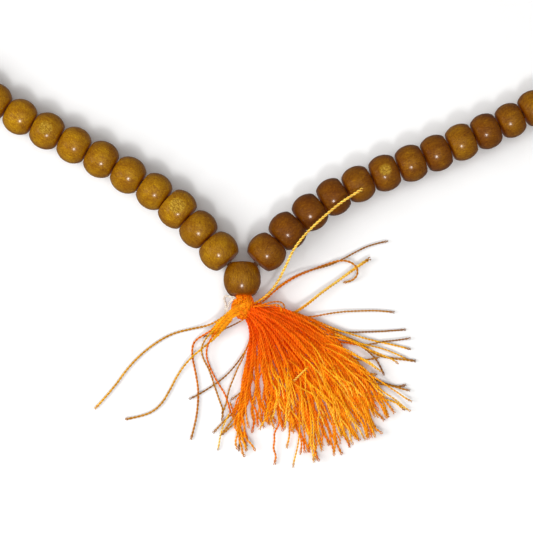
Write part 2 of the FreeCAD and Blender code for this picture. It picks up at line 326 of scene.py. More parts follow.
def floor_material():
    material, tree, shader = new_material("pale_floor")
    where = add(tree, "ShaderNodeTexCoord").outputs["Object"]
    faint = noise(tree, where, 60.0, 3.0, 0.5)
    tree.links.new(
        ramp(tree, faint, [(0.3, (0.90, 0.90, 0.90)), (0.7, (0.93, 0.93, 0.93))]),
        shader.inputs["Base Color"],
    )
    shader.inputs["Roughness"].default_value = 0.7
    shader.inputs["Specular IOR Level"].default_value = 0.2
    return material


# ---------------------------------------------------------------- meshes


def make_piece(name, vertices, faces, material, body, attributes=()):
    """A smooth-shaded mesh piece that rides on a body, if one is named.

    attributes: (name, type, values) for each.
    """
    mesh = bpy.data.meshes.new(name)
    mesh.from_pydata([tuple(v) for v in vertices], [], faces)
    for key, kind, values in attributes:
        layer = mesh.attributes.new(key, kind, "POINT")
        if kind == "FLOAT":
            layer.data.foreach_set("value", np.asarray(values, np.float32).ravel())
        elif kind == "FLOAT_VECTOR":
            layer.data.foreach_set("vector", np.asarray(values, np.float32).ravel())
        else:
            layer.data.foreach_set("color", np.asarray(values, np.float32).ravel())
    mesh.materials.append(material)
    mesh.polygons.foreach_set("use_smooth", [True] * len(mesh.polygons))
    mesh.update()
    piece = bpy.data.objects.new(name, mesh)
    bpy.context.scene.collection.objects.link(piece)
    if body is not None:
        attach(piece, body)
    return piece


# ---------------------------------------------------------------- beads

# Sizes of the beads in millimetres, and steps of their meshes round and along
BORE = 1.0
BORE_LIP = 0.16
END_DOME = 0.32
AROUND = 56
SIDE_STEPS = 14
# Lightness of the beads near the guru bead, from it outwards, and of the guru bead
NEAR_TONES = {
    "left": (0.80, 0.70, 0.86, 0.80, 0.84, 0.82, 0.90, 0.80, 0.92, 0.85),
    "right": (0.50, 0.36, 0.34, 0.36, 0.48, 0.46, 0.50, 0.44, 0.64, 0.42, 0.54, 0.56),
}
GURU_TONE = 0.56
# Least and greatest lightness of the beads out of the photo's view
FAR_TONES = (0.35, 0.9)
# A bead is lighter than its tone in the middle and darker at its ends, as painted shade of the creases where the
# beads meet
MIDDLE_LIGHTER = 0.04
ENDS_PAINTED_SHADE = 0.20
# Greatest upward part of an axis that counts as level
LEVEL_LIMIT = 0.3
GURU_SIZES = {"radius": 3.98, "half": 3.65, "end_radius": 2.75, "bore": 1.35}
# Depth of the rubbed flats on top of three beads
WORN_FLATS = {"bead_left_03": 0.32, "bead_left_08": 0.22, "bead_right_06": 0.12}


def corner_cut(points):
    """The polyline with its corners cut, its ends kept."""
    cut = [points[0]]
    for first, second in zip(points, points[1:]):
        cut.append(tuple(0.75 * a + 0.25 * b for a, b in zip(first, second)))
        cut.append(tuple(0.25 * a + 0.75 * b for a, b in zip(first, second)))
    return cut + [points[-1]]


def bead_outline(radius, half, end_radius, bore):
    """Half outline from one lip of the bore to the other, as (along, out) in millimetres."""
    shoulder = half - END_DOME
    rise = radius - end_radius
    bulge = (shoulder**2 + rise**2) / (2 * rise)
    side = []
    for step in range(1, SIDE_STEPS):
        along = shoulder * (1 - 2 * step / SIDE_STEPS)
        side.append((along, math.sqrt(bulge**2 - along**2) - bulge + radius))
    end = [
        (half - 0.06, bore),
        (half - 0.02, bore + BORE_LIP),
        (half - 0.25 * END_DOME, bore + 0.5 * (end_radius - bore)),
        (shoulder + 0.12, end_radius - 0.24),
        (shoulder - 0.02, end_radius),
    ]
    other_end = [(-along, out) for along, out in reversed(end)]
    return corner_cut(end + side + other_end)


def bead_mesh(centre, axis, radius, half, rng, end_radius=None, bore=BORE, flat=0.0):
    """Vertices, faces and grain places of one bead. Lengths in millimetres, centre in metres.

    A counting bead is a ball cut off at both ends, so its end radius follows from its length.
    """
    if end_radius is None:
        end_radius = math.sqrt(radius**2 - (half - END_DOME) ** 2)
    outline = bead_outline(radius, half, end_radius, bore)
    wall = [(along, bore) for along in np.linspace(outline[-1][0], outline[0][0], 6)[1:-1]]
    ring = outline + wall
    phase = rng.uniform(0, TAU, 4)
    wobble = rng.uniform(0.003, 0.009, 2)
    turn = np.linspace(0, TAU, AROUND, endpoint=False)
    along = np.array([p[0] for p in ring])[:, None]
    out = np.array([p[1] for p in ring])[:, None]
    swell = 1 + wobble[0] * np.sin(2 * turn + phase[0]) + wobble[1] * np.sin(3 * turn + phase[1])
    swell = 1 + (swell - 1) * np.clip((out - bore) / (radius - bore), 0, 1)
    reach = np.minimum(out * swell, np.maximum(out, radius))
    lean = 0.04 * np.sin(turn + phase[2]) * np.clip((out - bore) / radius, 0, 1)
    x = along + lean
    y = reach * np.cos(turn)
    z = reach * np.sin(turn)
    if flat:
        level = radius - flat
        dished = level - 0.02 * np.clip(1 - (x**2 + y**2) / 1.5**2, 0, 1)
        z = np.where(z > level, dished, z)
    local = np.stack([x + 0 * y, y, z], -1).reshape(-1, 3)
    frame_x = Vector(axis).normalized()
    frame_y = Vector((0, 0, 1)).cross(frame_x).normalized()
    frame_z = frame_x.cross(frame_y)
    basis = np.array([frame_x, frame_y, frame_z])
    world = local @ basis * MM + np.array(centre)
    count = len(ring)
    faces = []
    for i in range(count):
        j = (i + 1) % count
        for k in range(AROUND):
            m = (k + 1) % AROUND
            faces.append((i * AROUND + k, j * AROUND + k, j * AROUND + m, i * AROUND + m))
    # The heart of the tree lies off to one side of each bead, in its own direction
    spin = rng.uniform(0, TAU)
    tilt = rng.uniform(-0.35, 0.35)
    grain = local.copy()
    grain[:, 1] = local[:, 1] * math.cos(spin) - local[:, 2] * math.sin(spin)
    grain[:, 2] = local[:, 1] * math.sin(spin) + local[:, 2] * math.cos(spin)
    grain[:, 1] += tilt * local[:, 0]
    grain = grain * MM + rng.uniform(-1, 1, 3)
    on_end = np.abs(along) > half - END_DOME
    # Mask of the end faces by the bore, dark partly as end grain and partly as painted shade of the creases
    end_grain_shade_mask = on_end * np.clip((end_radius - 0.3 - out) / 0.7, 0, 1) * np.ones_like(turn)
    ends = (np.clip(np.abs(along) / half, 0, 1) ** 2 * np.ones_like(turn)).reshape(-1)
    rubbed = np.clip((local[:, 2] - radius + flat + 0.12) / 0.12, 0, 1) if flat else 0 * ends
    return world, faces, grain, end_grain_shade_mask.reshape(-1), ends, rubbed


def bead_piece(name, beads, tones, material, body):
    """One piece with a bead for each (arguments of bead_mesh) in beads."""
    vertices, faces, grains, tone, end_grain_shade_mask, rubs = [], [], [], [], [], []
    start = 0
    for arguments, lightness in zip(beads, tones):
        world, own, grain, end_grain_and_crease_shade, ends, rubbed = bead_mesh(**arguments)
        faces += [tuple(start + index for index in face) for face in own]
        start += len(world)
        vertices.append(world)
        grains.append(grain)
        end_grain_shade_mask.append(end_grain_and_crease_shade)
        # Darker towards both ends: painted shade of the creases between beads
        tone.append(lightness + MIDDLE_LIGHTER - ENDS_PAINTED_SHADE * ends)
        rubs.append(rubbed)
    return make_piece(
        name, np.concatenate(vertices), faces, material, body,
        [
            ("grain", "FLOAT_VECTOR", np.concatenate(grains)),
            ("tone", "FLOAT", np.concatenate(tone)),
            ("end_grain_and_crease_shade", "FLOAT", np.concatenate(end_grain_shade_mask) * 0.8),
            ("rubbed", "FLOAT", np.concatenate(rubs)),
        ],
    )


def node_points(node):
    mesh = frame["nodes"][node].data
    points = np.empty(len(mesh.vertices) * 3, np.float32)
    mesh.vertices.foreach_get("co", points)
    return points.reshape(-1, 3).astype(float)


def separate_solids(node):
    """The points of each separate solid in a node."""
    mesh = frame["nodes"][node].data
    points = node_points(node)
    keys = {}
    label = np.empty(len(points), int)
    for index, point in enumerate(np.round(points * 1e6).astype(int)):
        label[index] = keys.setdefault(tuple(point), len(keys))
    parent = list(range(len(keys)))

    def root(index):
        while parent[index] != index:
            parent[index] = parent[parent[index]]
            index = parent[index]
        return index

    for edge in mesh.edges:
        first, second = (root(label[v]) for v in edge.vertices)
        if first != second:
            parent[first] = second
    roots = np.array([root(label[index]) for index in range(len(points))])
    return [points[roots == value] for value in dict.fromkeys(roots)]


def body_of_node(node):
    return next(b for b, nodes in frame["record"]["behaviour"]["bodies"].items() if node in nodes)


def single_bead(node, tone, material, rng):
    """A bead that turns on its own: its joint gives its middle and its axis."""
    body = body_of_node(node)
    joint = next(j for j in frame["joints"] if j["child"] == body)
    centre = np.array(joint["pos_m"])
    axis = np.array(joint["axis"])
    half = np.abs((node_points(node) - centre) @ axis).max() / MM
    radius = centre[2] / MM
    bead = dict(
        centre=centre, axis=axis, radius=radius, half=half, rng=rng, flat=WORN_FLATS.get(node, 0.0)
    )
    piece = bead_piece(f"{node}_wood", [bead], [tone], material, body)
    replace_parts(piece, node)


def bead_group(node, material, rng):
    """The beads of a stretch out of sight, which don't turn on their own."""
    beads, tones = [], []
    for points in separate_solids(node):
        low, high = points.min(0), points.max(0)
        centre = (low + high) / 2
        offsets = points - centre
        _, axes = np.linalg.eigh(offsets.T @ offsets)
        level = [axes[:, k] for k in range(3) if abs(axes[2, k]) < LEVEL_LIMIT]
        reach = [np.abs(offsets @ axis).max() for axis in level]
        axis = level[int(np.argmin(reach))]
        beads.append(dict(
            centre=centre, axis=axis, radius=(high[2] - low[2]) / 2 / MM,
            half=min(reach) / MM, rng=rng,
        ))
        tones.append(rng.uniform(*FAR_TONES))
    piece = bead_piece(f"{node}_wood", beads, tones, material, body_of_node(node))
    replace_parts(piece, node)


def make_beads(material):
    rng = np.random.default_rng(21)
    for side, tones in NEAR_TONES.items():
        for number, tone in enumerate(tones, start=1):
            single_bead(f"bead_{side}_{number:02d}", tone, material, rng)
    for node in sorted(frame["nodes"]):
        if node.startswith("beads_"):
            bead_group(node, material, rng)
    guru = dict(centre=np.array(GURU), axis=(0, -1, 0), rng=rng, **GURU_SIZES)
    piece = bead_piece("guru_bead_wood", [guru], [GURU_TONE], material, "guru")
    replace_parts(piece, "guru_bead")


# ---------------------------------------------------------------- threads

PLY_SIDES = 5
STEPS_PER_TWIST = 6
# Lengths in metres over which a thread frays and its plies taper, at its free end
FRAY_LENGTH = 0.0016
TAPER_LENGTH = 0.0008
# Shares of red, green and blue on a thread's inner side, and what its outer side adds: painted shade where the
# plies meet and a painted highlight on each ply's crest
PLY_PAINTED_LIGHT = ((0.76, 0.36), (0.42, 0.98), (0.30, 1.20))
DEEP_RED = (0.68, 0.034, 0.0005)
RED_ORANGE = (0.74, 0.080, 0.0008)
ORANGE = (0.76, 0.165, 0.0015)
BRIGHT = (0.82, 0.310, 0.003)
GOLD = (0.86, 0.460, 0.018)
OCHRE = (0.50, 0.220, 0.016)
BROWN = (0.30, 0.125, 0.020)
PALE = (0.92, 0.640, 0.110)


def spline_route(points):
    """Points along the smooth NURBS curve whose control points are the route's points."""
    curve = bpy.data.curves.new("route", "CURVE")
    curve.dimensions = "3D"
    curve.resolution_u = 16
    spline = curve.splines.new("NURBS")
    spline.points.add(len(points) - 1)
    for control, point in zip(spline.points, points):
        control.co = (*place(point), 1)
    spline.order_u = 3
    spline.use_endpoint_u = True
    holder = bpy.data.objects.new("route", curve)
    mesh = bpy.data.meshes.new_from_object(holder)
    path = np.array([tuple(v.co) for v in mesh.vertices])
    bpy.data.objects.remove(holder)
    bpy.data.curves.remove(curve)
    bpy.data.meshes.remove(mesh)
    return path


def evenly(path, step):
    """The path's points again, at even steps along it."""
    gaps = np.linalg.norm(np.diff(path, axis=0), axis=1)
    along = np.concatenate([[0], np.cumsum(gaps)])
    count = max(int(round(along[-1] / step)), 3) + 1
    wanted = np.linspace(0, along[-1], count)
    return np.stack([np.interp(wanted, along, path[:, k]) for k in range(3)], -1), wanted


def twisted(path, radius, pitch, phase, fray=0.0):
    """Vertices, faces, share of the length and outwardness of a two-ply thread (metres)."""
    points, along = evenly(path, pitch / STEPS_PER_TWIST)
    ahead = np.gradient(points, axis=0)
    ahead /= np.linalg.norm(ahead, axis=1)[:, None] + 1e-12
    side = np.cross(np.array([0.0, 0.0, 1.0]), ahead)
    weak = np.linalg.norm(side, axis=1) < 0.15
    side[weak] = np.cross(np.array([0.0, 1.0, 0.3]), ahead[weak])
    side /= np.linalg.norm(side, axis=1)[:, None]
    up = np.cross(ahead, side)
    share = along / along[-1]
    count = len(points)
    vertices, faces, shares, outers = [], [], [], []
    to_end = along - along[-1]
    spread = radius * (0.5 + fray * np.clip((to_end + FRAY_LENGTH) / FRAY_LENGTH, 0, 1))
    taper = 1 - 0.35 * np.clip((to_end + TAPER_LENGTH) / TAPER_LENGTH, 0, 1)
    corners = np.linspace(0, TAU, PLY_SIDES, endpoint=False)
    for ply in range(2):
        angle = TAU * along / pitch + math.pi * ply + phase
        centre = points + spread[:, None] * (
            np.cos(angle)[:, None] * side + np.sin(angle)[:, None] * up
        )
        thick = radius * 0.56 * taper
        ring = (
            centre[:, None, :]
            + (thick[:, None] * np.cos(corners))[..., None] * side[:, None, :]
            + (thick[:, None] * np.sin(corners))[..., None] * up[:, None, :]
        )
        start = len(vertices) * count * PLY_SIDES
        vertices.append(ring.reshape(-1, 3))
        shares.append(np.repeat(share, PLY_SIDES))
        outers.append((0.5 + 0.5 * np.cos(angle[:, None] - corners)).ravel())
        ring_starts = start + PLY_SIDES * np.arange(count - 1)[:, None]
        low = ring_starts + np.arange(PLY_SIDES)
        turn = ring_starts + np.roll(np.arange(PLY_SIDES), -1)
        quads = np.stack([low, turn, turn + PLY_SIDES, low + PLY_SIDES], -1)
        faces += quads.reshape(-1, 4).tolist()
        faces.append(tuple(start + k for k in reversed(range(PLY_SIDES))))
        last = start + (count - 1) * PLY_SIDES
        faces.append(tuple(last + k for k in range(PLY_SIDES)))
    return np.concatenate(vertices), faces, np.concatenate(shares), np.concatenate(outers)


def colours_along(shares, outers, stops, ply_painted_light):
    """Colours for shares of the length, from (share, colour) stops, with a painted highlight that makes the
    outside of each ply yellower and painted shade that makes its inside redder.
    """
    places = [stop[0] for stop in stops]
    rgb = [np.interp(shares, places, [stop[1][k] for stop in stops]) for k in range(3)]
    for channel, (inner, gain) in enumerate(PLY_PAINTED_LIGHT):
        rgb[channel] = rgb[channel] * (1 + ply_painted_light * (inner + gain * outers - 1))
    return np.stack(rgb + [np.ones_like(shares)], -1)


def thread_piece(name, threads, material, body, ply_painted_light=1.0):
    """One piece from threads given as (path, radius, pitch, phase, fray, colour stops)."""
    vertices, faces, tints = [], [], []
    start = 0
    for path, radius, pitch, phase, fray, stops in threads:
        own, quads, shares, outers = twisted(path, radius, pitch, phase, fray)
        faces += [tuple(start + index for index in face) for face in quads]
        start += len(own)
        vertices.append(own)
        tints.append(colours_along(shares, outers, stops, ply_painted_light))
    return make_piece(
        name, np.concatenate(vertices), faces, material, body,
        [("tint", "FLOAT_COLOR", np.concatenate(tints))],
    )


# Loose threads: the routes of the CAD tubes, in millimetres from the guru bead
LONG_THREADS = {
    "thread_left_outer": [
        (-2.6, -6.9, 4.0), (-4.8, -8.6, 2.7), (-7.4, -9.6, 1.2), (-10.7, -10.1, 0.35),
        (-14.9, -11.1, 0.35), (-18.4, -13.1, 0.35), (-21.8, -15.8, 0.35),
        (-24.8, -19.1, 0.35), (-27.5, -23.1, 0.35), (-31.4, -27.4, 0.35),
    ],
    "thread_left_middle": [
        (-2.5, -7.7, 3.6), (-4.7, -9.7, 2.5), (-7.6, -11.2, 1.2), (-10.4, -12.8, 0.35),
        (-10.8, -15.4, 0.35), (-10.0, -19.2, 0.35), (-9.3, -23.0, 0.35),
        (-9.4, -26.8, 0.35), (-9.9, -30.4, 0.35), (-10.9, -34.0, 0.35),
    ],
    "thread_left_inner": [
        (-2.1, -8.5, 3.2), (-3.9, -10.4, 2.1), (-5.8, -12.2, 1.0), (-8.6, -14.5, 0.9),
        (-11.4, -16.9, 1.1), (-13.8, -20.1, 0.4), (-15.4, -23.4, 0.35),
        (-17.4, -26.8, 0.35), (-20.6, -28.9, 0.35), (-24.9, -29.6, 0.35),
    ],
    "thread_over_strand": [
        (2.5, -5.3, 3.8), (4.9, -3.9, 3.3), (7.3, -1.2, 4.0), (9.2, 2.2, 6.2),
        (10.9, 5.7, 8.6), (13.9, 9.4, 8.9), (17.9, 13.1, 8.9), (21.6, 16.2, 8.9),
        (25.7, 18.7, 8.7),
    ],
    "thread_hooked": [
        (2.7, -5.7, 3.0), (4.6, -4.5, 1.9), (7.4, -1.5, 0.7), (11.2, 1.1, 0.4),
        (15.0, 2.7, 0.4), (18.3, 3.9, 0.5), (21.1, 4.7, 1.1), (23.7, 4.1, 1.5),
        (25.0, 2.0, 1.5), (23.7, 0.1, 0.7), (21.6, -0.1, 0.4),
    ],
}
# How soon a stray thread comes down from its first height to its last
STRAY_FALL = 2.2
# Loose threads beside the head and the fan: two colours, radius, first and last height, and the
# way seen from above, in millimetres
HEAD_STRAYS = [
    (BROWN, BROWN, 0.17, (2.2, 0.5), [(0.2, -8.5), (-1.9, -9.5), (-4.3, -10.5), (-6.6, -11.3),
     (-8.3, -11.9)]),
    (GOLD, OCHRE, 0.22, (2.6, 0.35), [(-3, -7.5), (-5.4, -10), (-7.7, -12.3), (-8.6, -14),
     (-8.7, -15.4), (-8.1, -17.1), (-7.1, -18.8), (-6.4, -20.8), (-5.6, -23.3), (-4.7, -25.9),
     (-3.9, -27.9), (-4.3, -30)]),
    (ORANGE, ORANGE, 0.23, (2.6, 0.6), [(-2.4, -7.5), (-4.7, -10), (-6.8, -12.6), (-7.6, -14.7),
     (-7.6, -16.6), (-6.8, -18.7), (-5.8, -20.8), (-4.7, -22.6), (-3.6, -24.3), (-3, -26.2),
     (-2.4, -28.4), (-1.3, -30.5), (-0.2, -32.7), (1, -35.5)]),
]
FAN_STRAYS = [
    (OCHRE, BROWN, 0.2, (2.6, 0.4), [(1.9, -9), (1.8, -11.5), (1.5, -13.4), (0.6, -15.2),
     (-0.9, -17.4), (-2.6, -19.5), (-4.7, -21.4), (-7.3, -23.1), (-9.4, -24.4), (-11.3, -25.3)]),
    (ORANGE, OCHRE, 0.2, (2.6, 0.5), [(2.1, -9.6), (1.7, -12.8), (0.8, -14.9), (0.2, -16.6),
     (-0.9, -18.5), (-1.7, -20.6), (-2.6, -22.7), (-3.1, -24.7), (-3.4, -26.6), (-4.3, -28.5)]),
    (ORANGE, OCHRE, 0.2, (2, 0.5), [(1.7, -19.3), (0.8, -23), (-0.4, -24), (-2.4, -25.5)]),
    (ORANGE, OCHRE, 0.22, (2, 0.4), [(1.5, -19.7), (0.8, -23.9), (-0.4, -26.7), (-2.2, -28.6),
     (-3.9, -30), (-6.2, -32.6)]),
    (ORANGE, OCHRE, 0.22, (2, 0.6), [(1.7, -20.6), (1, -25.2), (-0.2, -27.7), (-2.2, -29.9),
     (-4.7, -33.3)]),
    (ORANGE, OCHRE, 0.22, (2, 0.5), [(2.1, -20.1), (1.5, -25.2), (0.2, -28.2), (-1.7, -30.7),
     (-4.3, -32.9)]),
    (GOLD, PALE, 0.18, (1.2, 0.4), [(-2.6, -28.2), (-3.9, -30.7), (-4.7, -33.3), (-5.1, -36.3)]),
    (ORANGE, BROWN, 0.2, (1.8, 0.4), [(0.4, -25.7), (-0.3, -28.8), (-0.3, -32), (-0.7, -36.5)]),
    (ORANGE, OCHRE, 0.2, (1.4, 0.5), [(-2.6, -26.1), (-1.9, -28.2), (-0.9, -30.7), (0.2, -33.3),
     (1, -36.3)]),
]
RIGHT_STRAYS = [
    (ORANGE, OCHRE, 0.2, (2.6, 0.5), [(9.2, -7.7), (12.4, -7.7), (14.7, -7.8), (17.7, -7.1),
     (21.3, -6.5), (25.1, -6.3), (29.4, -6.2), (32.6, -6.6)]),
    (ORANGE, BROWN, 0.2, (2.6, 0.4), [(10.6, -7), (14.9, -8.6), (18.7, -10.4), (21.9, -11),
     (25.1, -10.9), (30.5, -10.7), (35, -10.3)]),
    (ORANGE, GOLD, 0.22, (2.6, 0.5), [(10.6, -6.8), (14.7, -8.1), (17.7, -9.5), (20.9, -10.7),
     (23.4, -11.4), (26, -12.2), (29.2, -13), (32.6, -13.7), (36, -14.6)]),
    (OCHRE, BROWN, 0.2, (1.6, 0.7), [(13.4, -10.8), (16.2, -12), (18.7, -12.3), (21.1, -11.6),
     (23.4, -12.4), (25.8, -13.7), (27.7, -13.5), (30.3, -12.9), (33, -12.7), (36, -12.2)]),
    (ORANGE, OCHRE, 0.25, (2.2, 0.4), [(14.1, -8.9), (17.7, -10.1), (21.1, -11.6), (23.4, -12.6),
     (26, -13.9), (27.5, -15.1), (29.4, -16.1), (32.6, -16.6), (37.1, -17.1)]),
    (GOLD, GOLD, 0.2, (1.6, 0.7), [(17.7, -10.8), (21.1, -11.8), (24.1, -13.1), (26.4, -13.7),
     (29, -14.2), (31.5, -15), (33.7, -16), (35.4, -16.9)]),
    (ORANGE, BROWN, 0.2, (1.8, 0.4), [(18.7, -11.7), (21.9, -12.6), (24.7, -13.7), (26.2, -14.5),
     (27.7, -15.8), (28.9, -17.2), (29.6, -18.6), (30.3, -20.2)]),
    (ORANGE, OCHRE, 0.2, (1.8, 0.5), [(17.7, -13), (19.8, -15), (21.7, -16.3), (23.7, -16.7),
     (25.8, -16.9), (27.7, -16.7), (29.4, -16.3)]),
    (ORANGE, ORANGE, 0.25, (1.9, 0.6), [(14.5, -10.6), (17, -11.8), (19.2, -12.6), (21.1, -13),
     (23, -13.3), (25.6, -13.8)]),
    (ORANGE, GOLD, 0.24, (1.8, 0.5), [(18.7, -16.2), (21.9, -18.3), (24.1, -19.4), (26.4, -19.9),
     (28.8, -20)]),
    (ORANGE, BROWN, 0.24, (1.8, 0.4), [(20.5, -17.5), (23.4, -19.2), (26.9, -20.6), (29.4, -21.6),
     (31.8, -22.4), (33.7, -22.7), (35, -22.2)]),
    (ORANGE, OCHRE, 0.22, (1.6, 0.6), [(19.2, -19.2), (21.9, -20.4), (24.7, -21.3), (27.3, -21.8),
     (29.8, -22.2), (32.4, -22.6), (34.3, -23.2), (35.8, -23.5)]),
    (BRIGHT, GOLD, 0.24, (1.8, 0.4), [(20.9, -22.3), (24.1, -23.5), (27.3, -24.7), (30.3, -25.4),
     (32.6, -25.9), (33.7, -26.9), (34.7, -27.7)]),
    (GOLD, PALE, 0.22, (5.2, 4.2), [(14.1, -19), (13, -19.9), (11.9, -21), (10.9, -22)]),
    (BRIGHT, GOLD, 0.34, (3, 1), [(8.1, -8.6), (10.2, -7.5), (12.4, -6.2), (14.5, -4.6),
     (17, -2.4), (20.5, 0.1), (24.1, 2.8), (27.5, 5.1)]),
    (BRIGHT, PALE, 0.2, (3.4, 1.3), [(8.5, -8.3), (10.6, -7.3), (12.8, -5.8), (14.9, -4.1),
     (17.3, -2.1), (20.7, 0.2), (24.3, 3.2), (26.9, 4.8)]),
]
BRANCH_STRAYS = [
    (ORANGE, BROWN, 0.2, (2.6, 0.5), [(7.2, -1.8), (9.8, 0.2), (12.6, 1.7), (14.9, 2.5),
     (18.7, 3.5), (21.7, 5), (24.3, 6.5), (27.7, 8.2), (31.3, 8.9)]),
]
# The two legs of the white string end
STRING_TAIL = [
    [(-1.2, -4.2, 4.8), (-2.2, -4.0, 4.9), (-3.9, -3.6, 4.5), (-3.75, -4.7, 4.2), (-3.4, -5.6, 4.0),
     (-3.6, -7.4, 3.2)],
    [(-1.5, -4.2, 5.0), (-2.2, -4.6, 5.0), (-2.9, -5.6, 4.6), (-3.7, -7.5, 3.2)],
]
STRING_WHITE = (0.84, 0.76, 0.68)
STRING_RADIUS = 0.29 * MM
STRING_PITCH = 1.6 * MM
THREAD_RADIUS = 0.25 * MM
TWIST_PITCH = 1.7 * MM
THICK_THREADS = {"thread_over_strand": 0.31 * MM}
# Colours of each long thread after its first stretch, and at its free end
LONG_COLOURS = {
    "thread_left_outer": (OCHRE, GOLD),
    "thread_left_middle": (ORANGE, OCHRE),
    "thread_left_inner": (GOLD, OCHRE),
    "thread_over_strand": (PALE, PALE),
    "thread_hooked": (ORANGE, OCHRE),
}


def make_cords(material):
    """The loose threads that run free for their whole length."""
    for name, route in LONG_THREADS.items():
        path = spline_route(route)
        first, last = LONG_COLOURS[name]
        stops = [(0, BRIGHT), (0.2, first), (1, last)]
        body = body_of_node(name)
        radius = THICK_THREADS.get(name, THREAD_RADIUS)
        piece = thread_piece(
            f"{name}_plied", [(path, radius, TWIST_PITCH, 0.4, 0.4, stops)],
            material, body,
        )
        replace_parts(piece, name)


def falling(heights, way):
    """A route along the way that comes down fast at first, with heights to 0.01 mm."""
    first, last = heights
    route = []
    for (x, y), share in zip(way, np.linspace(0, 1, len(way))):
        route.append((x, y, round(last + (first - last) * (1 - share) ** STRAY_FALL, 2)))
    return route


def stray_piece(name, strays, material, node, rng):
    """Loose threads that ride on a node's body. Their first stretch is the colour of the fan."""
    threads = []
    for first, last, radius, heights, way in strays:
        stops = [(0, BRIGHT), (0.12, first), (0.45, last), (0.93, last), (1, BROWN)]
        pitch = rng.uniform(1.35, 1.7) * MM
        path = spline_route(falling(heights, way))
        threads.append((path, radius * MM, pitch, rng.uniform(0, TAU), 0.5, stops))
    return thread_piece(name, threads, material, body_of_node(node))


def make_short_threads(material, string):
    """The loose threads that aren't declared as cords, and the white end of the string."""
    rng = np.random.default_rng(8)
    for node, strays in (
        ("threads_left", HEAD_STRAYS),
        ("threads_right", RIGHT_STRAYS + FAN_STRAYS),
        ("thread_branch", BRANCH_STRAYS),
    ):
        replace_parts(stray_piece(f"{node}_plied", strays, material, node, rng), node)
    stops = [(0, STRING_WHITE), (1, STRING_WHITE)]
    tail = [
        (spline_route(leg), STRING_RADIUS, STRING_PITCH, 0.2, 0.5, stops) for leg in STRING_TAIL
    ]
    piece = thread_piece("string_tail_plied", tail, string, None, 0.0)
    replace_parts(piece, "string_tail")
    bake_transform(piece)


# ---------------------------------------------------------------- tassel

SKIRT_PIECES = 5
FLYAWAYS = 58
# Locks of the fan: number of threads, half their spread at the tips in millimetres, height as a
# share of PILE_HIGH, and the way down from the head in millimetres
LOCKS = [
    (9, 1.1, 0.7, [(2.0, -11.2), (1.3, -18.0), (0.1, -25.0), (-0.8, -31.0), (1.3, -37.6)]),
    (3, 1.0, 0.6, [(1.9, -11.0), (1.5, -17.0), (0.2, -23.0), (-2.0, -28.4), (-3.4, -31.6)]),
    (10, 1.6, 0.8, [(2.7, -11.8), (2.5, -18.6), (2.2, -25.4), (3.2, -32.4)]),
    (12, 1.8, 0.9, [(3.6, -11.8), (4.4, -18.8), (5.0, -25.6), (5.8, -32.6)]),
    (2, 0.4, 0.6, [(3.9, -11.6), (5.4, -20.0), (7.0, -30.0), (7.1, -39.4)]),
    (12, 1.8, 1.0, [(4.4, -11.6), (6.6, -18.8), (8.4, -26.0), (9.6, -32.8)]),
    (13, 1.8, 1.0, [(5.2, -11.2), (8.6, -18.4), (11.4, -26.4), (13.6, -37.0)]),
    (15, 2.0, 1.0, [(6.0, -10.9), (10.4, -17.8), (14.0, -26.4), (17.0, -38.6)]),
    (15, 2.2, 1.0, [(6.8, -10.5), (12.4, -17.0), (17.4, -25.4), (21.2, -37.2)]),
    (15, 2.0, 1.0, [(7.4, -9.9), (13.6, -16.0), (19.2, -24.2), (24.4, -34.6)]),
    (15, 2.0, 1.0, [(8.0, -9.3), (14.8, -14.9), (21.2, -22.6), (27.4, -33.8)]),
    (14, 1.8, 0.95, [(8.7, -8.7), (16.0, -13.8), (23.0, -21.2), (29.6, -33.0)]),
    (13, 1.7, 0.85, [(9.2, -8.0), (16.8, -12.7), (24.0, -19.8), (30.8, -29.6)]),
    (10, 1.3, 0.7, [(9.6, -7.3), (16.4, -11.4), (22.4, -17.0), (27.8, -24.0)]),
    (6, 0.9, 0.6, [(9.8, -6.9), (14.6, -9.6), (19.2, -13.4), (23.2, -18.2)]),
]
# Flyaways follow locks from this one, up to and not including that one
FLYAWAY_LOCKS = (5, len(LOCKS) - 2)
# Roots of the first and the last lock in the head
FIRST_ROOT = (0.8, -7.2)
LAST_ROOT = (1.5, -5.6)
SHARE_STEPS = 72
# Sideways waves of a thread: size in millimetres, waves along it, and how late they grow
WAVES = ((0.75, 1.2, 1.2), (0.42, 2.6, 1.2), (0.26, 5.3, 1.2), (0.15, 11.0, 1.8))
# Bottom and top of the pile of threads, from the head to the tips
PILE_LOW = (2.8, 1.3, 0.4, 0.3, 0.3, 0.3)
PILE_HIGH = (4.6, 5.4, 4.6, 3.7, 2.9, 1.7)


def through(points, share):
    """A smooth curve through the points, at shares 0 to 1 of the way along them."""
    points = np.array(points, float)
    ends = np.concatenate([[2 * points[0] - points[1]], points, [2 * points[-1] - points[-2]]])
    places = share * (len(points) - 1)
    low = np.clip(np.floor(places).astype(int), 0, len(points) - 2)
    t = (places - low)[:, None]
    a, b, c, d = (ends[low + k] for k in range(4))
    square = (2 * a - 5 * b + 4 * c - d) * t**2
    cube = (3 * b - a - 3 * c + d) * t**3
    return 0.5 * (2 * b + (c - a) * t + square + cube)


def blended(first, second, part):
    """The colour or point that lies part of the way from first to second."""
    return tuple(a + (b - a) * part for a, b in zip(first, second))


